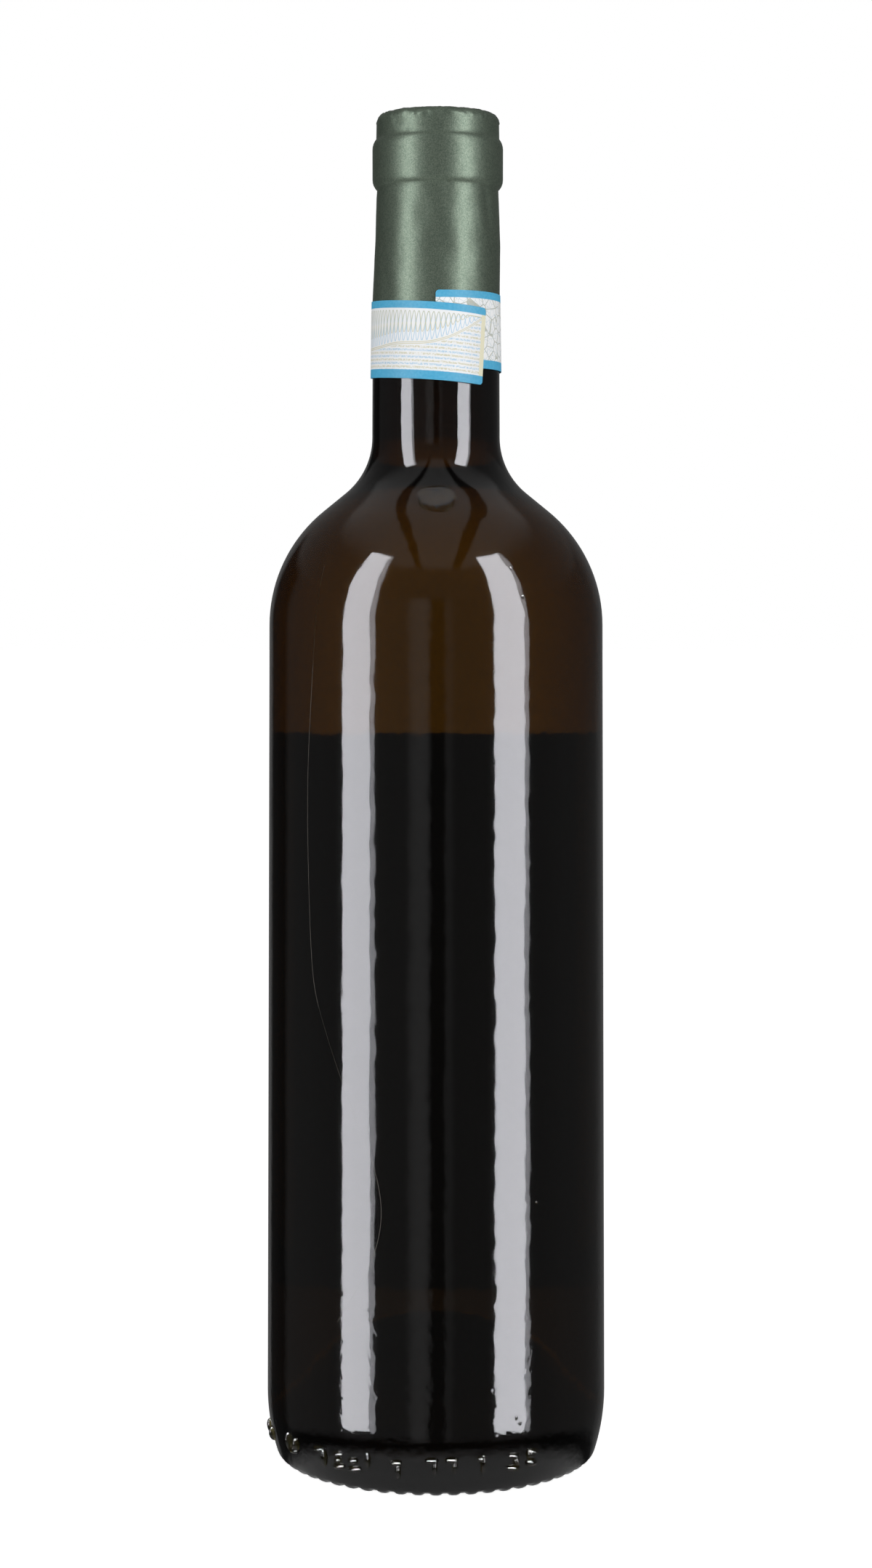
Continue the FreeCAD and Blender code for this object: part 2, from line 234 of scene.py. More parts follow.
def colour(code):
    """An sRGB hex code as a linear colour."""
    channels = [int(code[place:place + 2], 16) / 255 for place in (0, 2, 4)]
    return tuple(
        c / 12.92 if c <= 0.04045 else ((c + 0.055) / 1.055) ** 2.4 for c in channels
    ) + (1.0,)


def add(tree, kind, values=None, **settings):
    """Add a node.  Each value goes to the input of that name or number, as a
    link when it comes from another node; settings are the node's own options."""
    node = tree.nodes.new(kind)
    for option, choice in settings.items():
        setattr(node, option, choice)
    for socket, value in (values or {}).items():
        if isinstance(value, bpy.types.NodeSocket):
            tree.links.new(value, node.inputs[socket])
        else:
            node.inputs[socket].default_value = value
    return node


def new_material(name):
    """A material with its tree and its empty output."""
    material = bpy.data.materials.new(name)
    material.use_nodes = True
    material.node_tree.nodes.clear()
    tree = material.node_tree
    return material, tree, add(tree, "ShaderNodeOutputMaterial")


def moulded_olive_glass():
    """Soda-lime glass blown in an iron mould and coloured with iron and sulphur.

    Thin glass looks olive brown and thick glass black.  The mould's chill leaves
    small shallow ripples, and an orange-peel where the gob first touched, low on
    the body, so straight lights wobble in it.
    """
    material, tree, output = new_material("blown_soda_lime_glass")
    place = add(tree, "ShaderNodeTexCoord").outputs["Object"]
    height = add(tree, "ShaderNodeSeparateXYZ", {0: place}).outputs["Z"]
    low = add(tree, "ShaderNodeMapRange", {
        "Value": height, "From Min": 75 * MM, "From Max": 25 * MM,
        "To Min": 0.12, "To Max": 1.0})
    ripple = add(tree, "ShaderNodeTexNoise", {
        "Vector": place, "Scale": 1 / (3.6 * MM), "Detail": 1.0, "Roughness": 0.4})
    swell = add(tree, "ShaderNodeTexNoise", {
        "Vector": place, "Scale": 1 / (18 * MM), "Detail": 0.0})
    peel = add(tree, "ShaderNodeTexNoise", {
        "Vector": place, "Scale": 1 / (1.6 * MM), "Detail": 1.0, "Roughness": 0.5})
    wave = add(tree, "ShaderNodeBump", {
        "Height": swell.outputs["Fac"], "Strength": 1.0, "Distance": 0.06 * MM})
    wave = add(tree, "ShaderNodeBump", {
        "Height": ripple.outputs["Fac"], "Strength": 1.0, "Distance": 0.04 * MM,
        "Normal": wave.outputs["Normal"]})
    grain = add(tree, "ShaderNodeBump", {
        "Height": peel.outputs["Fac"], "Strength": low.outputs[0],
        "Distance": 0.03 * MM, "Normal": wave.outputs["Normal"]})
    shader = add(tree, "ShaderNodeBsdfPrincipled", {
        "Base Color": (1, 1, 1, 1), "Roughness": 0.06, "IOR": 1.52,
        "Transmission Weight": 1.0, "Normal": grain.outputs["Normal"]})
    depth = add(tree, "ShaderNodeVolumeAbsorption", {
        "Color": (0.642, 0.556, 0.0, 1), "Density": 1600.0})
    tree.links.new(shader.outputs[0], output.inputs["Surface"])
    tree.links.new(depth.outputs[0], output.inputs["Volume"])
    return material


def pale_wine():
    """Still white wine, clear and straw yellow.

    It bends light nearly as water does and takes a little blue out of it.
    """
    material, tree, output = new_material("still_white_wine")
    shader = add(tree, "ShaderNodeBsdfPrincipled", {
        "Base Color": (1, 1, 1, 1), "Roughness": 0.0, "IOR": 1.34,
        "Transmission Weight": 1.0})
    depth = add(tree, "ShaderNodeVolumeAbsorption", {
        "Color": (0.94, 0.79, 0.0, 1), "Density": 7.3})
    tree.links.new(shader.outputs[0], output.inputs["Surface"])
    tree.links.new(depth.outputs[0], output.inputs["Volume"])
    return material


def lacquered_foil():
    """Tin-look foil, spun onto the neck and lacquered in a pearly sage green.

    The flakes in the lacquer give it a satin sheen with fine bright specks, and
    the spinning leaves faint drawn lines and soft dents.
    """
    material, tree, output = new_material("spun_lacquered_foil")
    place = add(tree, "ShaderNodeTexCoord").outputs["Object"]
    flakes = add(tree, "ShaderNodeTexVoronoi", {
        "Vector": place, "Scale": 1 / (0.22 * MM)}, feature="F1")
    specks = add(tree, "ShaderNodeValToRGB", {"Fac": flakes.outputs["Color"]})
    specks.color_ramp.elements[0].position = 0.0
    specks.color_ramp.elements[0].color = colour("596759")
    specks.color_ramp.elements[1].position = 1.0
    specks.color_ramp.elements[1].color = colour("7B8776")
    dents = add(tree, "ShaderNodeTexNoise", {
        "Vector": place, "Scale": 1 / (7 * MM), "Detail": 2.0})
    soft = add(tree, "ShaderNodeBump", {
        "Height": dents.outputs["Fac"], "Strength": 1.0, "Distance": 0.12 * MM})
    grain = add(tree, "ShaderNodeBump", {
        "Height": flakes.outputs["Distance"], "Strength": 0.5, "Distance": 0.02 * MM,
        "Normal": soft.outputs["Normal"]})
    shader = add(tree, "ShaderNodeBsdfPrincipled", {
        "Base Color": specks.outputs["Color"], "Metallic": 0.78, "Roughness": 0.41,
        "Normal": grain.outputs["Normal"]})
    tree.links.new(shader.outputs[0], output.inputs["Surface"])
    return material


def printed_strip_paper():
    """Coated security paper, printed with fine guilloche lines between blue edges.

    The coating keeps it bright and barely glossy.  The blue lies a little
    unevenly, and the line work is pale beige and pale blue.
    """
    material, tree, output = new_material("guilloche_printed_paper")
    flat = add(tree, "ShaderNodeUVMap").outputs["UV"]
    sized = add(tree, "ShaderNodeVectorMath", {
        0: flat, 1: (STRIP_LENGTH, STRIP_LENGTH, 1.0)}, operation="MULTIPLY").outputs[0]
    parts = add(tree, "ShaderNodeSeparateXYZ", {0: sized})
    along = parts.outputs["X"]
    up = add(tree, "ShaderNodeMath", {0: parts.outputs["Y"], 1: STRIP_LENGTH / 2},
             operation="SUBTRACT").outputs[0]
    beige, pale_blue = colour("CBC69F"), colour("9FC6DC")
    grain = add(tree, "ShaderNodeTexNoise", {
        "Vector": sized, "Scale": 0.8, "Detail": 4.0})
    shade = add(tree, "ShaderNodeMix", {
        "Factor": grain.outputs["Fac"], 6: colour("E8EAE7"), 7: colour("F3F4F1")},
        data_type="RGBA").outputs[2]

    def ink(mask, tint):
        return add(tree, "ShaderNodeMix", {"Factor": mask, 6: shade, 7: tint},
                   data_type="RGBA").outputs[2]

    # The sweep that closes the loops off from below, rising towards the end.
    sweep_start, sweep_low, sweep_high = 64.0, -3.0, 7.0
    share = add(tree, "ShaderNodeMapRange", {
        "Value": along, "From Min": sweep_start, "From Max": STRIP_LENGTH})
    sweep = add(tree, "ShaderNodeFloatCurve", {"Value": share.outputs[0]})
    points = sweep.mapping.curves[0].points
    # (distance along the strip, height from its middle line)
    for run, rise in ((76.0, -1.8), (83.3, -0.7), (89.6, -0.34), (93.6, 0.73),
                      (97.8, 2.9), (102.3, 5.9)):
        points.new((run - sweep_start) / (STRIP_LENGTH - sweep_start),
                   (rise - sweep_low) / (sweep_high - sweep_low))
    points[0].location = (0.0, 0.08)
    points[-1].location = (1.0, 1.0)
    sweep.mapping.update()
    foot = add(tree, "ShaderNodeMapRange", {
        "Value": sweep.outputs[0], "To Min": sweep_low, "To Max": sweep_high}).outputs[0]

    # Overlapping loops: two waves in opposite phase between a top and a bottom.
    pitch, crest = 2.2, 6.4
    angle = add(tree, "ShaderNodeMath", {0: along, 1: math.tau / pitch},
                operation="MULTIPLY").outputs[0]
    cosine = add(tree, "ShaderNodeMath", {0: angle}, operation="COSINE").outputs[0]
    sine = add(tree, "ShaderNodeMath", {0: angle}, operation="SINE").outputs[0]
    over_foot = add(tree, "ShaderNodeMath", {0: up, 1: foot}, operation="GREATER_THAN")
    for clear, tint in ((0.4, pale_blue), (2.3, beige)):
        bottom = add(tree, "ShaderNodeMath", {0: foot, 1: clear}, operation="ADD")
        span = add(tree, "ShaderNodeMath", {0: crest, 1: bottom.outputs[0]},
                   operation="SUBTRACT")
        half = add(tree, "ShaderNodeMath", {0: span.outputs[0], 1: 0.5},
                   operation="MULTIPLY").outputs[0]
        half = add(tree, "ShaderNodeMath", {0: half, 1: 0.02},
                   operation="MAXIMUM").outputs[0]
        middle = add(tree, "ShaderNodeMath", {0: crest, 1: half}, operation="SUBTRACT")
        steep = add(tree, "ShaderNodeMath", {0: half, 1: sine}, operation="MULTIPLY")
        steep = add(tree, "ShaderNodeMath", {0: steep.outputs[0], 1: math.tau / pitch},
                    operation="MULTIPLY")
        stretch = add(tree, "ShaderNodeMath", {
            0: steep.outputs[0], 1: steep.outputs[0], 2: 1.0}, operation="MULTIPLY_ADD")
        stretch = add(tree, "ShaderNodeMath", {0: stretch.outputs[0]}, operation="SQRT")
        away = add(tree, "ShaderNodeMath", {0: up, 1: middle.outputs[0]},
                   operation="SUBTRACT")
        swing = add(tree, "ShaderNodeMath", {0: half, 1: cosine}, operation="MULTIPLY")
        for operation in ("ADD", "SUBTRACT"):
            gap = add(tree, "ShaderNodeMath", {
                0: away.outputs[0], 1: swing.outputs[0]}, operation=operation)
            gap = add(tree, "ShaderNodeMath", {0: gap.outputs[0]}, operation="ABSOLUTE")
            gap = add(tree, "ShaderNodeMath", {
                0: gap.outputs[0], 1: stretch.outputs[0]}, operation="DIVIDE")
            line = add(tree, "ShaderNodeMapRange", {
                "Value": gap.outputs[0], "From Min": 0.04, "From Max": 0.11,
                "To Min": 0.85, "To Max": 0.0})
            line = add(tree, "ShaderNodeMath", {
                0: line.outputs[0], 1: over_foot.outputs[0]}, operation="MULTIPLY")
            shade = ink(line.outputs[0], tint)

    # A double rule along the sweep, and rows of tiny broken marks beneath it.
    row_gap = 0.76
    under = add(tree, "ShaderNodeMath", {0: foot, 1: up}, operation="SUBTRACT").outputs[0]
    for rule in (0.0, 0.35):
        off = add(tree, "ShaderNodeMath", {0: under, 1: rule}, operation="SUBTRACT")
        off = add(tree, "ShaderNodeMath", {0: off.outputs[0]}, operation="ABSOLUTE")
        line = add(tree, "ShaderNodeMapRange", {
            "Value": off.outputs[0], "From Min": 0.06, "From Max": 0.13,
            "To Min": 0.8, "To Max": 0.0})
        shade = ink(line.outputs[0], beige)
    specks = add(tree, "ShaderNodeTexNoise", {
        "Vector": sized, "Scale": 2.4, "Detail": 1.0})
    broken = add(tree, "ShaderNodeMapRange", {
        "Value": specks.outputs["Fac"], "From Min": 0.42, "From Max": 0.55,
        "To Min": 0.1, "To Max": 0.75})
    low = add(tree, "ShaderNodeMath", {0: under, 1: 0.6}, operation="GREATER_THAN")
    for shift, tint in ((0.0, beige), (row_gap, pale_blue)):
        row = add(tree, "ShaderNodeMath", {0: up, 1: shift}, operation="ADD")
        row = add(tree, "ShaderNodeMath", {0: row.outputs[0], 1: row_gap},
                  operation="PINGPONG")
        row = add(tree, "ShaderNodeMapRange", {
            "Value": row.outputs[0], "From Min": 0.18, "From Max": 0.27,
            "To Min": 1.0, "To Max": 0.0})
        row = add(tree, "ShaderNodeMath", {0: row.outputs[0], 1: broken.outputs[0]},
                  operation="MULTIPLY")
        row = add(tree, "ShaderNodeMath", {0: row.outputs[0], 1: low.outputs[0]},
                  operation="MULTIPLY")
        shade = ink(row.outputs[0], tint)

    # The first stretch has a net of crossing curves instead, and the last
    # millimetre is a cream edge.
    net = add(tree, "ShaderNodeTexVoronoi", {"Vector": sized, "Scale": 0.38},
              feature="DISTANCE_TO_EDGE")
    fine_net = add(tree, "ShaderNodeTexVoronoi", {"Vector": sized, "Scale": 0.75},
                   feature="DISTANCE_TO_EDGE")
    net_end, cream_start = 36.0, STRIP_LENGTH - 1.2
    start = add(tree, "ShaderNodeMath", {0: along, 1: net_end}, operation="LESS_THAN")
    shade = ink(start.outputs[0], colour("F1F2EE"))
    for cells, thin, tint in ((net, 0.045, colour("A9AC98")),
                              (fine_net, 0.04, colour("B9C9CC"))):
        line = add(tree, "ShaderNodeMapRange", {
            "Value": cells.outputs["Distance"],
            "From Min": thin * 0.5, "From Max": thin, "To Min": 0.8, "To Max": 0.0})
        line = add(tree, "ShaderNodeMath", {0: line.outputs[0], 1: start.outputs[0]},
                   operation="MULTIPLY")
        shade = ink(line.outputs[0], tint)
    end = add(tree, "ShaderNodeMath", {0: along, 1: cream_start},
              operation="GREATER_THAN")
    shade = ink(end.outputs[0], colour("E6E2C2"))

    # Blue edges, mottled because the ink lies unevenly on the coating.
    mottle = add(tree, "ShaderNodeTexNoise", {
        "Vector": sized, "Scale": 1.6, "Detail": 4.0})
    blue = add(tree, "ShaderNodeMix", {
        "Factor": mottle.outputs["Fac"], 6: colour("2C9AC4"), 7: colour("66B9D7")},
        data_type="RGBA").outputs[2]
    for side, inner in ((1.0, 7.0), (-1.0, 6.7)):
        out = add(tree, "ShaderNodeMath", {0: up, 1: side}, operation="MULTIPLY")
        border = add(tree, "ShaderNodeMapRange", {
            "Value": out.outputs[0], "From Min": inner - 0.05, "From Max": inner + 0.05})
        shade = ink(border.outputs[0], blue)
    fibres = add(tree, "ShaderNodeBump", {
        "Height": mottle.outputs["Fac"], "Strength": 0.4, "Distance": 0.03 * MM})
    shader = add(tree, "ShaderNodeBsdfPrincipled", {
        "Base Color": shade, "Roughness": 0.5, "IOR": 1.5,
        "Normal": fibres.outputs["Normal"]})
    tree.links.new(shader.outputs[0], output.inputs["Surface"])
    return material


def label_paper():
    """Uncoated laid paper with a plain frame and two fields of colour."""
    material, tree, output = new_material("laid_label_paper")
    flat = add(tree, "ShaderNodeUVMap").outputs["UV"]
    sized = add(tree, "ShaderNodeVectorMath", {
        0: flat, 1: (LABEL_WIDTH, LABEL_WIDTH, 1.0)}, operation="MULTIPLY")
    parts = add(tree, "ShaderNodeSeparateXYZ", {0: sized.outputs[0]})
    across = add(tree, "ShaderNodeMath", {0: parts.outputs["X"], 1: LABEL_WIDTH / 2},
                 operation="SUBTRACT").outputs[0]
    up = add(tree, "ShaderNodeMath", {0: parts.outputs["Y"], 1: LABEL_WIDTH / 2},
             operation="SUBTRACT").outputs[0]
    fibre = add(tree, "ShaderNodeTexNoise", {
        "Vector": sized.outputs[0], "Scale": 1.6, "Detail": 6.0, "Roughness": 0.6})
    shade = add(tree, "ShaderNodeMix", {
        "Factor": fibre.outputs["Fac"], 6: colour("E6DFC9"), 7: colour("F1ECDD")},
        data_type="RGBA").outputs[2]
    # Fields of colour: (half width, middle height, half height, ink)
    fields = (
        (41.0, 0.0, 60.0, "6F8272"), (40.2, 0.0, 59.2, "ECE6D4"),
        (39.2, 0.0, 58.2, "A9AE8C"), (38.9, 0.0, 57.9, "ECE6D4"),
        (30.0, 26.0, 20.0, "6F8272"), (29.0, 26.0, 19.0, "8FA08C"),
        (24.0, -14.0, 1.1, "B59A5B"), (18.0, -21.0, 0.5, "6F8272"),
        (18.0, -25.0, 0.5, "6F8272"), (26.0, -48.0, 0.6, "B59A5B"),
    )
    side = add(tree, "ShaderNodeMath", {0: across}, operation="ABSOLUTE").outputs[0]
    for half_width, middle, half_height, ink in fields:
        offset = add(tree, "ShaderNodeMath", {0: up, 1: middle}, operation="SUBTRACT")
        rise = add(tree, "ShaderNodeMath", {0: offset.outputs[0]}, operation="ABSOLUTE")
        within = add(tree, "ShaderNodeMath", {0: rise.outputs[0], 1: half_height},
                     operation="LESS_THAN")
        beside = add(tree, "ShaderNodeMath", {0: side, 1: half_width},
                     operation="LESS_THAN")
        both = add(tree, "ShaderNodeMath", {0: within.outputs[0], 1: beside.outputs[0]},
                   operation="MULTIPLY")
        shade = add(tree, "ShaderNodeMix", {
            "Factor": both.outputs[0], 6: shade, 7: colour(ink)},
            data_type="RGBA").outputs[2]
    tooth = add(tree, "ShaderNodeBump", {
        "Height": fibre.outputs["Fac"], "Strength": 0.5, "Distance": 0.05 * MM})
    shader = add(tree, "ShaderNodeBsdfPrincipled", {
        "Base Color": shade, "Roughness": 0.75, "Normal": tooth.outputs["Normal"]})
    tree.links.new(shader.outputs[0], output.inputs["Surface"])
    return material


def label_back_painted_shade():
    """The label's back, coloured near black: painted shade for the paper that lies in
    shadow against the glass.
    """
    material, tree, output = new_material("label_back_painted_shade_film")
    place = add(tree, "ShaderNodeTexCoord").outputs["Object"]
    streaks = add(tree, "ShaderNodeTexNoise", {
        "Vector": place, "Scale": 1 / (6 * MM), "Detail": 3.0})
    # Near-black painted shade, streaked at random.
    shade = add(tree, "ShaderNodeMix", {
        "Factor": streaks.outputs["Fac"], 6: colour("14120F"), 7: colour("1F1C18")},
        data_type="RGBA")
    shader = add(tree, "ShaderNodeBsdfPrincipled", {
        "Base Color": shade.outputs[2], "Roughness": 0.6})
    tree.links.new(shader.outputs[0], output.inputs["Surface"])
    return material


def studio_floor():
    """Matt white painted board, so light that it shows only the faintest shadow."""
    material, tree, output = new_material("matt_white_board")
    shader = add(tree, "ShaderNodeBsdfPrincipled", {
        "Base Color": (0.85, 0.85, 0.85, 1), "Roughness": 0.9,
        "Emission Color": (1, 1, 1, 1), "Emission Strength": 0.95})
    tree.links.new(shader.outputs[0], output.inputs["Surface"])
    return material


# ---------------------------------------------------------------- the pieces

def make_glass():
    """The bottle: punt, base ring, heel, body, shoulder, neck, bead, lip and bore."""
    outline = [(0.0, 29.0)]
    arc_to(outline, (15.59, 20.0), 18.0, -1, 7)
    line_to(outline, (24.80, 4.0), 3)
    arc_to(outline, (31.73, 0.0), 8.0, 1, 7)
    line_to(outline, (34.0, 0.0), 2)
    arc_to(outline, (36.15, 1.7), 2.5, 1, 5)
    arc_to(outline, (BODY_RADIUS, HEEL_HEIGHT), HEEL_RADIUS, 1, 10)
    line_to(outline, (37.86, SHOULDER[1]), 3)
    arc_to(outline, (25.60, 213.80), SHOULDER_RADIUS, 1, 18)
    line_to(outline, (20.56, 217.92), 3)
    arc_to(outline, (NECK_RADIUS, 230.7), 16.5, -1, 14)
    line_to(outline, (NECK_RADIUS, NECK_FOOT))
    arc_to(outline, NECK_TOP, NECK_BOW, 1, 4)
    arc_to(outline, (BEAD_RADIUS, BEAD_FOOT), BEAD_ROUND_BELOW, 1, 4)
    line_to(outline, (BEAD_RADIUS, BEAD_TOP))
    arc_to(outline, (LIP_RADIUS, LIP_FOOT), BEAD_ROUND_ABOVE, 1, 4)
    line_to(outline, (LIP_RADIUS, 301.4))
    arc_to(outline, (11.55, 303.6), 2.2, 1, 5)
    line_to(outline, (9.95, 303.6))
    arc_to(outline, (9.25, 302.9), 0.7, 1, 3)
    line_to(outline, (9.65, 258.6), 2)
    line_to(outline, (10.3, 232.9), 2)
    arc_to(outline, (20.9, 213.5), 23.03, 1, 9)
    arc_to(outline, (34.83, 188.0), 30.27, -1, 14)
    line_to(outline, (35.22, 10.9), 3)
    arc_to(outline, (27.76, 8.9), 4.0, -1, 8)
    line_to(outline, (19.92, 22.5), 3)
    arc_to(outline, (0.0, 34.0), 23.0, 1, 7)
    piece = turn_piece("glass_bottle", outline, KNURLS * STEPS_PER_KNURL)
    # Bumps under the base: every groove is pressed up from the standing ring.
    choose(piece)
    bpy.ops.object.mode_set(mode="EDIT")
    half_knurl = STEPS_PER_KNURL / 2
    for steps_away, lift in ((3, 0.3), (2, 0.12)):
        def in_groove(place):
            step = math.atan2(place.y, place.x) / math.tau * KNURLS * STEPS_PER_KNURL
            near = abs((step + half_knurl) % STEPS_PER_KNURL - half_knurl)
            out = math.hypot(place.x, place.y)
            return near > steps_away - 0.5 and 31.0 < out < 35.9 and place.z < 0.9
        select_where(piece, in_groove)
        bpy.ops.transform.translate(value=(0, 0, lift * MM))
    bpy.ops.object.mode_set(mode="OBJECT")
    lean_neck(piece)
    smooth(piece)
    return piece


def make_wine():
    """The wine, which reaches just into the glass all round, and its flat surface."""
    into = 0.07             # how far it reaches into the glass
    surface = 247.0
    outline = [(0.0, 34.0 - into)]
    arc_to(outline, (19.92 - into * 0.866, 22.5 - into * 0.5), 23.0 - into, -1, 7)
    line_to(outline, (27.76 - into * 0.866, 8.9 - into * 0.5), 3)
    arc_to(outline, (35.22 + into, 10.9), 4.0 + into, 1, 8)
    line_to(outline, (34.83 + into, SHOULDER[1]), 3)
    arc_to(outline, (20.9 + into * 0.8, 213.5 + into * 0.5), 30.27 + into, 1, 14)
    arc_to(outline, (10.3 + into, 232.9), 23.03 - into, -1, 9)
    line_to(outline, (9.94 + into, surface))
    line_to(outline, (0.0, surface), 3)
    piece = turn_piece("wine_fill", outline, 192)
    smooth(piece)
    return piece


def press_out(piece, name, weight, size, strength):
    """Push a turned skin outwards in soft folds of a size, where a weight says."""
    group = piece.vertex_groups.new(name=name)
    for vertex in piece.data.vertices:
        amount = weight(vertex.co / MM)
        if amount > 0:
            group.add([vertex.index], amount, "REPLACE")
    folds = bpy.data.textures.new(name, "CLOUDS")
    folds.noise_scale = size * MM
    apply_modifier(piece, "DISPLACE", texture=folds, vertex_group=name,
                   texture_coords="LOCAL", mid_level=0.35, strength=strength * MM)


def press_creases(piece):
    """Press in the few longer creases that handling left in the foil."""
    # (degrees from the front and height of either end, half width, depth)
    creases = (
        (-12, 279, 13, 269, 3.0, 0.17), (51, 285.5, 56, 277, 1.3, 0.17),
        (5, 287.4, 13, 286.2, 0.7, 0.12), (-42, 301, -30, 299.6, 0.9, 0.14),
        (-62, 274, -50, 262, 2.2, 0.14), (30, 270, 38, 258, 2.4, 0.12),
    )
    for vertex in piece.data.vertices:
        place = vertex.co / MM
        out = math.hypot(place.x, place.y)
        turn = (math.atan2(place.y, place.x) + 1.5 * math.pi) % math.tau - math.pi
        flat = Vector((turn * out, place.z))
        press = 0.0
        for start_turn, start_up, end_turn, end_up, half, depth in creases:
            start = Vector((math.radians(start_turn) * out, start_up))
            along = Vector((math.radians(end_turn) * out, end_up)) - start
            share = min(max((flat - start).dot(along) / along.length_squared, 0), 1)
            gap = (flat - start - along * share).length
            press += depth * math.exp(-(gap / half) ** 2)
        if out > 5:
            vertex.co.xy *= 1 - press / out


def dent_foil(piece):
    """Soft dents on the skirt, and crinkles where the foil is crimped on top."""
    def on_skirt(place):
        return min(max((place.z - 266) / 6, 0), 1) * (1 if place.z < 286 else 0.2)

    def on_rim(place):
        out = math.hypot(place.x, place.y)
        return 1.0 if place.z > 301.9 and out > 11.8 else 0.0

    press_out(piece, "skirt_dents", on_skirt, 6.0, 0.22)
    press_out(piece, "rim_crinkles", on_rim, 1.6, 0.42)
    press_creases(piece)


def make_capsule():
    """The foil: a thin skin over neck, bead and lip, with a disc crimped on top."""
    outer = [(neck_at(CAPSULE_EDGE) + FOIL_SKIN, CAPSULE_EDGE)]
    for height in range(253, 286):
        outer.append((neck_at(height) + FOIL_SKIN, height))
    line_to(outer, (NECK_TOP[0] + FOIL_SKIN, NECK_TOP[1]))
    arc_to(outer, (BEAD_RADIUS + FOIL_SKIN, BEAD_FOOT), BEAD_ROUND_BELOW, 1, 4)
    line_to(outer, (BEAD_RADIUS + FOIL_SKIN, BEAD_TOP), 3)
    arc_to(outer, (LIP_RADIUS + FOIL_SKIN, LIP_FOOT), BEAD_ROUND_ABOVE, 1, 4)
    line_to(outer, (13.70 + FOIL_SKIN, 301.8), 4)
    arc_to(outer, (12.9, 303.85), 2.2, 1, 6)
    line_to(outer, (12.3, 303.8))
    line_to(outer, (11.8, 303.64))
    line_to(outer, (0.0, 303.64), 5)
    piece = turn_piece("foil_capsule", outer, 256)
    dent_foil(piece)
    lean_neck(piece)
    apply_modifier(piece, "SOLIDIFY", thickness=FOIL_GAUGE * MM, offset=-1)
    smooth(piece, 50)
    return piece


def wrap_strip(along, up):
    """Place on the neck of a point of the strip, and how far it stands out."""
    lean = math.tan(math.radians(STRIP_LEAN))
    round_neck = neck_at(STRIP_MIDDLE) + STRIP_SKIN
    taper = (STRIP_MIDDLE - NECK_FOOT) / NECK_BOW
    slope = lean - taper * along / round_neck
    height = STRIP_MIDDLE + lean * along - taper * along ** 2 / (2 * round_neck) + up
    run = along - up * slope
    # It climbs onto its own start over the last stretch before a full turn.
    before_turn, climb_run, climb_out = 7.5, 6.0, 0.2
    climb = (run - (math.tau * round_neck - before_turn)) / climb_run
    climb = min(max(climb, 0), 1)
    out = neck_at(height) + STRIP_SKIN + climb_out * climb * climb * (3 - 2 * climb)
    angle = run / round_neck - math.pi / 2
    return Vector((out * math.cos(angle), out * math.sin(angle), height)) * MM


def make_strip():
    piece = cut_sheet("neck_strip_paper", STRIP_LENGTH, STRIP_HEIGHT, 0.8, 130)
    for vertex in piece.data.vertices:
        vertex.co = wrap_strip(vertex.co.x / MM, vertex.co.y / MM)
    apply_modifier(piece, "SOLIDIFY", thickness=STRIP_GAUGE * MM, offset=1)
    smooth(piece, 40)
    return piece


def make_label():
    """The label, wrapped round the far side of the body."""
    piece = cut_sheet("label_sheet", LABEL_WIDTH, LABEL_HEIGHT, 1.5, 92)
    for vertex in piece.data.vertices:
        along = vertex.co.x / MM - LABEL_WIDTH / 2
        height = LABEL_MIDDLE + vertex.co.y / MM
        out = body_at(height) + LABEL_SKIN
        angle = math.pi / 2 + along / BODY_RADIUS
        vertex.co = Vector((out * math.cos(angle), out * math.sin(angle), height)) * MM
    # The second material paints the label's back in near-black painted shade.
    for material in (label_paper(), label_back_painted_shade()):
        piece.data.materials.append(material)
    apply_modifier(piece, "SOLIDIFY", thickness=LABEL_GAUGE * MM, offset=1,
                   material_offset=1)
    smooth(piece, 40)
    return piece


def surface_place(degrees, height):
    """A place on the outside of the glass, at an angle from the front, and the
    direction straight out of the glass there."""
    step = 0.05
    slope = (body_at(height - step) - body_at(height + step)) / (2 * step)
    turn = math.radians(degrees) - math.pi / 2
    out = body_at(height)
    place = Vector((out * math.cos(turn), out * math.sin(turn), height)) * MM
    normal = Vector((math.cos(turn), math.sin(turn), slope)).normalized()
    return place, normal


def make_bead(degrees, height, wide, tall, deep):
    """A small smooth lump of glass, half sunk in the surface."""
    deselect()
    bpy.ops.mesh.primitive_uv_sphere_add(segments=20, ring_count=10, radius=1)
    bead = bpy.context.active_object
    place, normal = surface_place(degrees, height)
    bead.scale = (wide / 2 * MM, deep * MM, tall / 2 * MM)
    bead.rotation_euler = normal.to_track_quat("-Y", "Z").to_euler()
    bead.location = place
    settle(bead)
    bpy.ops.object.shade_smooth()
    return bead


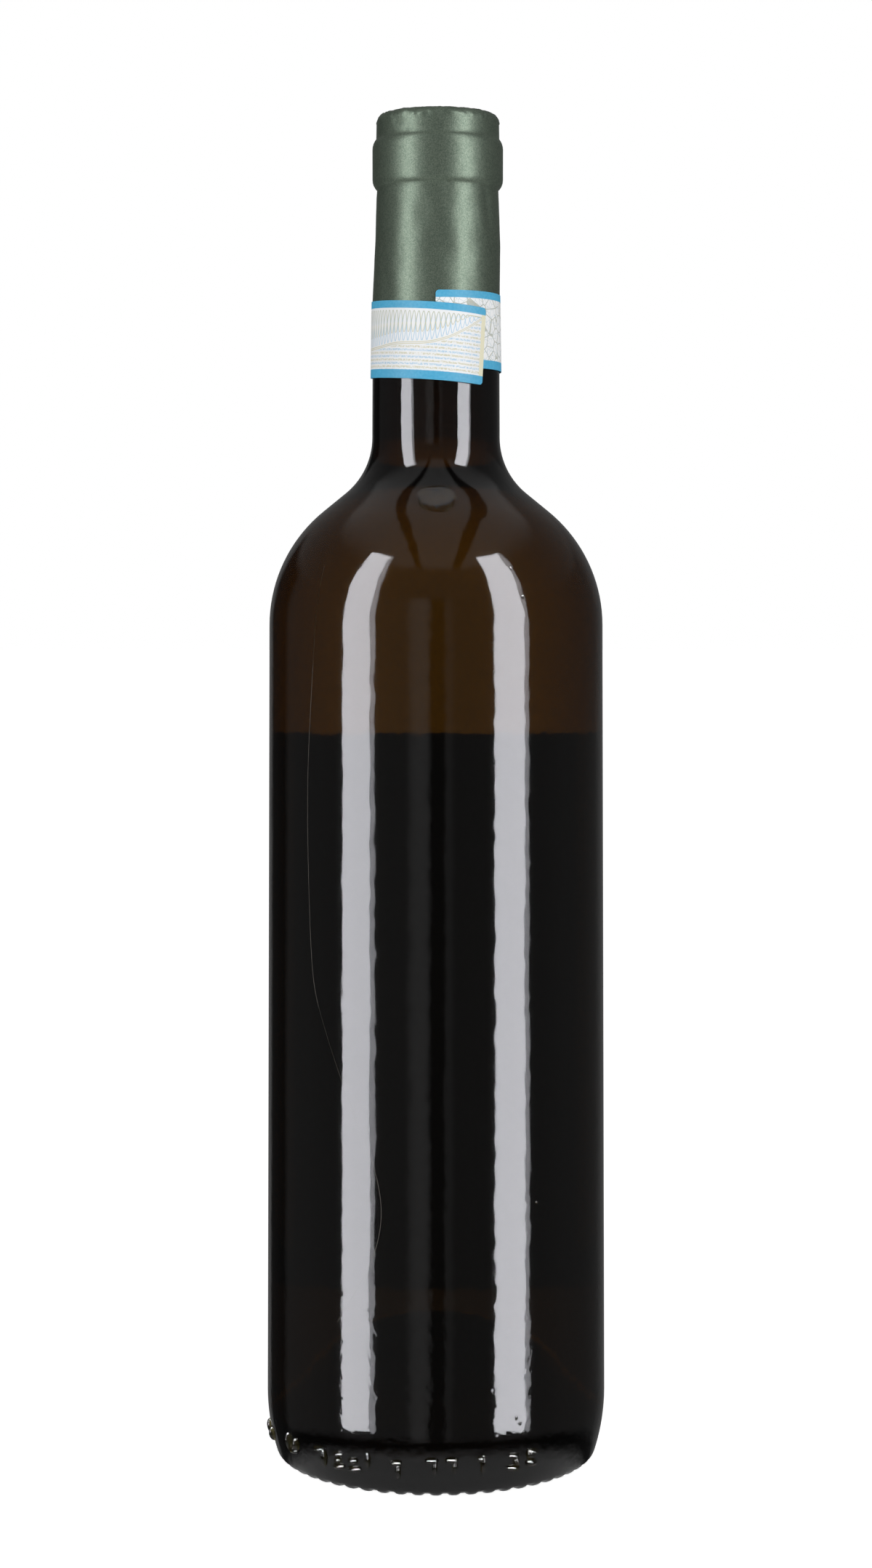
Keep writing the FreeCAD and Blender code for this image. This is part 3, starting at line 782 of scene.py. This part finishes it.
def make_mould_marks():
    """Plain raised dots and bars that the mould leaves round the heel."""
    # (degrees from the front, height, width, height of the mark)
    marks = (
        (-86.0, 6.4, 1.0, 3.0), (-80.0, 5.8, 0.9, 2.6),
        (-59.5, 7.6, 0.8, 3.2), (-57.0, 6.0, 2.6, 1.1), (-54.8, 7.6, 1.0, 2.4),
        (-42.6, 8.4, 2.2, 0.9), (-40.6, 6.6, 0.8, 3.2),
        (-34.4, 8.2, 2.0, 0.9), (-34.6, 6.8, 1.2, 1.0), (-34.4, 5.4, 2.3, 1.1),
        (-28.6, 7.2, 1.8, 1.1), (-28.2, 5.4, 2.4, 1.0), (-23.0, 7.9, 0.8, 2.8),
        (-13.2, 7.8, 2.0, 0.9), (-12.6, 5.9, 0.9, 2.8),
        (-1.4, 8.6, 2.2, 0.9), (-0.4, 7.0, 0.8, 2.8),
        (5.2, 8.7, 2.2, 0.9), (6.2, 7.1, 0.8, 2.8),
        (15.6, 7.4, 0.8, 3.6), (14.8, 8.7, 1.1, 0.8),
        (26.4, 8.6, 2.0, 0.9), (27.4, 7.2, 1.0, 1.7), (26.6, 5.9, 2.3, 0.9),
        (32.4, 8.4, 1.0, 1.8), (33.9, 8.9, 2.0, 0.8), (33.4, 6.4, 2.1, 1.4),
    )
    # They are drawn a little bigger than real ones, so that they show.
    spread, stretch, proud = 1.4, 1.25, 1.0
    return join("mould_marks", [
        make_bead(degrees, height, wide * spread, tall * stretch, proud)
        for degrees, height, wide, tall in marks
    ])


def make_seeds():
    """Specks and small bubbles that broke at the surface of the glass."""
    # (degrees from the front, height, size)
    seeds = (
        (27.3, 200.5, 0.8), (30.4, 194.3, 0.9), (19.2, 178.1, 0.5),
        (27.0, 16.7, 0.8), (28.4, 15.5, 0.8), (29.6, 13.5, 0.7), (35.0, 62.8, 0.6),
    )
    return join("glass_seeds", [
        make_bead(degrees, height, size, size * 1.2, size * 0.35)
        for degrees, height, size in seeds
    ])


def make_hair():
    """A fine fibre that clings to the glass, from the shoulder to above the heel."""
    # (degrees from the front, height) along it
    course = (
        (-44, 201), (-44.2, 190), (-45.3, 177), (-48, 160), (-48, 142), (-46, 114),
        (-44, 107), (-38.7, 99), (-32, 88), (-25, 79), (-19, 69), (-17.5, 62),
        (-18.5, 56), (-21.5, 50), (-27, 44), (-34, 37),
    )
    deselect()
    bpy.ops.curve.primitive_nurbs_path_add()
    hair = name_piece(bpy.context.active_object, "clinging_fibre")
    spline = hair.data.splines[0]
    spline.points.add(len(course) - len(spline.points))
    for point, (degrees, height) in zip(spline.points, course):
        place, normal = surface_place(degrees, height)
        point.co = (*(place + normal * 0.02 * MM), 1)
    spline.use_endpoint_u = True
    hair.data.bevel_depth = 0.035 * MM
    hair.data.bevel_resolution = 1
    hair.data.use_fill_caps = True
    choose(hair)
    bpy.ops.object.convert(target="MESH")
    bpy.ops.object.shade_smooth()
    return bpy.context.active_object


def fibre():
    """A pale textile fibre, dull and slightly see-through."""
    material, tree, output = new_material("textile_fibre")
    place = add(tree, "ShaderNodeTexCoord").outputs["Object"]
    twist = add(tree, "ShaderNodeTexNoise", {"Vector": place, "Scale": 1 / (3 * MM)})
    shade = add(tree, "ShaderNodeMix", {
        "Factor": twist.outputs["Fac"], 6: colour("4A4640"), 7: colour("8C867C")},
        data_type="RGBA")
    shader = add(tree, "ShaderNodeBsdfPrincipled", {
        "Base Color": shade.outputs[2], "Roughness": 0.6})
    tree.links.new(shader.outputs[0], output.inputs["Surface"])
    return material


# ---------------------------------------------------------------- the studio

def hide_from(piece, *rays):
    """Keep a piece out of the sight of some kinds of ray."""
    for kind in rays:
        setattr(piece, f"visible_{kind}", False)


def make_light(name, place, target, wide, tall, radiance, receivers):
    """A rectangle of light that lights only some of the pieces."""
    deselect()
    bpy.ops.object.light_add(type="AREA", location=place)
    light = bpy.context.active_object
    light.name = name
    light.data.shape = "RECTANGLE"
    light.data.size, light.data.size_y = wide, tall
    light.data.energy = radiance * math.pi * wide * tall
    hide_from(light, "camera", "transmission")
    towards = Vector(target) - light.location
    light.rotation_euler = towards.to_track_quat("-Z", "Y").to_euler()
    light.light_linking.receiver_collection = receivers
    return light


def make_softbox(name, degrees, wide, radiance, receivers):
    """A tall softbox beside the camera, its light a little blue."""
    low, high, away = -0.24, 1.15, 0.8
    turn = math.radians(degrees)
    middle = (low + high) / 2
    place = (math.sin(turn) * away, -math.cos(turn) * away, middle)
    box = make_light(name, place, (0, 0, middle), wide, high - low, radiance, receivers)
    box.data.color = (0.975, 0.975, 1.03)


# Level of the room as the glass mirrors it, by compass direction from the camera.
ROOM = (
    (-180, 0.13), (-157, 0.13), (-151, 0.02), (-127, 0.02), (-120, 0.09), (-95, 0.13),
    (-20, 0.15), (-17, 0.30), (-13, 0.37), (-8, 0.37), (-5, 0.30), (-3.5, 0.05),
    (5, 0.05), (7, 0.20), (10, 0.19), (13, 0.12), (95, 0.12), (121, 0.08),
    (140, 0.07), (152, 0.10), (180, 0.13),
)


def make_world():
    """A bright backdrop seen through the bottle, and a dim room round it."""
    world = bpy.data.worlds.new("studio")
    bpy.context.scene.world = world
    world.use_nodes = True
    tree = world.node_tree
    tree.nodes.clear()
    way = add(tree, "ShaderNodeSeparateXYZ", {
        0: add(tree, "ShaderNodeTexCoord").outputs["Generated"]})
    across, ahead, up = way.outputs

    def fade(level, value, start, end, target):
        """Pass from one level to another as a value goes from start to end."""
        share = add(tree, "ShaderNodeMapRange", {
            "Value": value, "From Min": start, "From Max": end},
            interpolation_type="SMOOTHSTEP")
        return add(tree, "ShaderNodeMix", {
            "Factor": share.outputs[0], 2: level, 3: target}).outputs[0]

    towards = add(tree, "ShaderNodeMath", {0: ahead, 1: -1.0}, operation="MULTIPLY")
    compass = add(tree, "ShaderNodeMath", {0: across, 1: towards.outputs[0]},
                  operation="ARCTAN2").outputs[0]
    round_share = add(tree, "ShaderNodeMapRange", {
        "Value": compass, "From Min": -math.pi, "From Max": math.pi})
    room = add(tree, "ShaderNodeFloatCurve", {"Value": round_share.outputs[0]})
    points = room.mapping.curves[0].points
    for degrees, level in ROOM[1:-1]:
        points.new(degrees / 360 + 0.5, level)
    points[0].location, points[-1].location = (0, ROOM[0][1]), (1, ROOM[-1][1])
    for point in points:
        point.handle_type = "VECTOR"
    room.mapping.update()
    # Over the tops of the dim strips the room is even; low down it is dark, and
    # under that is the pale table.
    mirrored = fade(room.outputs[0], up, 0.30, 0.38, 0.13)
    mirrored = fade(mirrored, up, -0.34, -0.40, 0.02)
    mirrored = fade(mirrored, up, -0.42, -0.56, 0.47)
    # A ceiling, pale in the middle, with two dark beams that run front to back.
    sideways = add(tree, "ShaderNodeMath", {0: across, 1: up},
                   operation="DIVIDE").outputs[0]
    beside = add(tree, "ShaderNodeMath", {0: sideways},
                 operation="ABSOLUTE").outputs[0]
    ceiling = fade(0.36, beside, 0.55, 1.1, 0.16)
    for middle, half in ((-0.26, 0.045), (0.31, 0.06)):
        off = add(tree, "ShaderNodeMath", {0: sideways, 1: middle}, operation="SUBTRACT")
        off = add(tree, "ShaderNodeMath", {0: off.outputs[0]}, operation="ABSOLUTE")
        ceiling = fade(ceiling, off.outputs[0], half + 0.01, half - 0.01, 0.04)
    mirrored = fade(mirrored, up, 0.66, 0.74, ceiling)

    # What shines through: a bright sweep behind the bottle and on the table far
    # behind it, less bright straight behind and over the shoulder.
    through = fade(0.10, ahead, 0.40, 0.60, 1.35)
    through = fade(through, ahead, 0.975, 1.0, 0.97)
    through = fade(through, up, 0.05, 0.08, 0.38)
    through = fade(through, up, -0.55, -0.75, 0.2)
    seen = add(tree, "ShaderNodeLightPath")
    level = add(tree, "ShaderNodeMix", {
        "Factor": seen.outputs["Is Transmission Ray"], 2: mirrored, 3: through})
    level = add(tree, "ShaderNodeMix", {
        "Factor": seen.outputs["Is Camera Ray"], 2: level.outputs[0], 3: 1.0})
    light = add(tree, "ShaderNodeBackground", {
        "Color": (1, 1, 1, 1), "Strength": level.outputs[0]})
    add(tree, "ShaderNodeOutputWorld", {"Surface": light.outputs[0]})


def make_shaded_table():
    """The table in the bottle's own shade, which only shows through the glass."""
    deselect()
    bpy.ops.mesh.primitive_circle_add(vertices=64, radius=0.2, fill_type="NGON",
                                      location=(0, 0, -0.5 * MM))
    shade = name_piece(bpy.context.active_object, "shaded_table")
    settle(shade)
    material, tree, output = new_material("shaded_board")
    grain = add(tree, "ShaderNodeTexNoise", {"Scale": 60.0})
    level = add(tree, "ShaderNodeMix", {
        "Factor": grain.outputs["Fac"], 2: 0.12, 3: 0.16})
    glow = add(tree, "ShaderNodeEmission", {"Strength": level.outputs[0]})
    tree.links.new(glow.outputs[0], output.inputs["Surface"])
    shade.data.materials.append(material)
    hide_from(shade, "camera", "glossy", "diffuse", "shadow")


def make_studio(glass_pieces, raised_marks, other_pieces):
    make_world()
    make_shaded_table()
    groups = {}
    for group, pieces in (("lit_glass", glass_pieces + raised_marks),
                          ("lit_marks", raised_marks), ("lit_skin", other_pieces)):
        groups[group] = bpy.data.collections.new(group)
        for piece in pieces:
            groups[group].objects.link(piece)
    # (side and use, degrees from the camera, width, radiance, what it lights);
    # a narrow weak one beside each main one makes its edge fade out.
    softboxes = (
        ("left_glass", -54.6, 0.291, 10.6, "lit_glass"),
        ("right_glass", 50.3, 0.312, 11.3, "lit_glass"),
        ("left_fade", -42.4, 0.045, 4.0, "lit_glass"),
        ("right_fade", 63.0, 0.045, 3.6, "lit_glass"),
        ("left_skin", -53.7, 0.31, 4.6, "lit_skin"),
        ("right_skin", 50.7, 0.31, 5.2, "lit_skin"),
    )
    for use, degrees, wide, radiance, lit in softboxes:
        make_softbox("softbox_" + use, degrees, wide, radiance, groups[lit])
    # A light over the camera, which catches the tops of the mould marks.
    make_light("top_light_marks", (0, -0.5, 0.75), (0, 0, 0), 1.2, 0.8, 30.0,
               groups["lit_marks"])
    deselect()
    bpy.ops.mesh.primitive_plane_add(size=30)
    floor = name_piece(bpy.context.active_object, "studio_floor")
    floor.data.materials.append(studio_floor())
    hide_from(floor, "glossy", "transmission", "diffuse", "shadow")


def make_camera():
    """A long lens level with the body, with the frame shifted to hold it all."""
    bpy.ops.object.camera_add(location=(0, -0.670, 0.1905),
                              rotation=(math.pi / 2, 0, 0))
    camera = bpy.context.active_object
    camera.data.lens = 67.56
    camera.data.shift_y = -0.1084
    bpy.context.scene.camera = camera


# ---------------------------------------------------------------- assembly

def finish_piece(piece, material, node):
    """Give a piece its material and its body, and hide the imported node that it stands
    in for.
    """
    if material:
        piece.data.materials.append(material)
    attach(piece, "root")
    if node:
        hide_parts(node)


glass, wine, capsule, strip, label = (
    make_glass(), make_wine(), make_capsule(), make_strip(), make_label())
marks, seeds, hair = make_mould_marks(), make_seeds(), make_hair()

olive = moulded_olive_glass()
finish_piece(glass, olive, "bottle")
finish_piece(marks, olive, None)
finish_piece(seeds, olive, None)
finish_piece(hair, fibre(), None)
finish_piece(wine, pale_wine(), "wine")
finish_piece(capsule, lacquered_foil(), "capsule")
finish_piece(strip, printed_strip_paper(), "neck_strip")
finish_piece(label, None, "front_label")

make_studio([glass], [marks, seeds], [capsule, strip, label, wine, hair])
make_camera()
bpy.context.scene.view_settings.view_transform = "Standard"
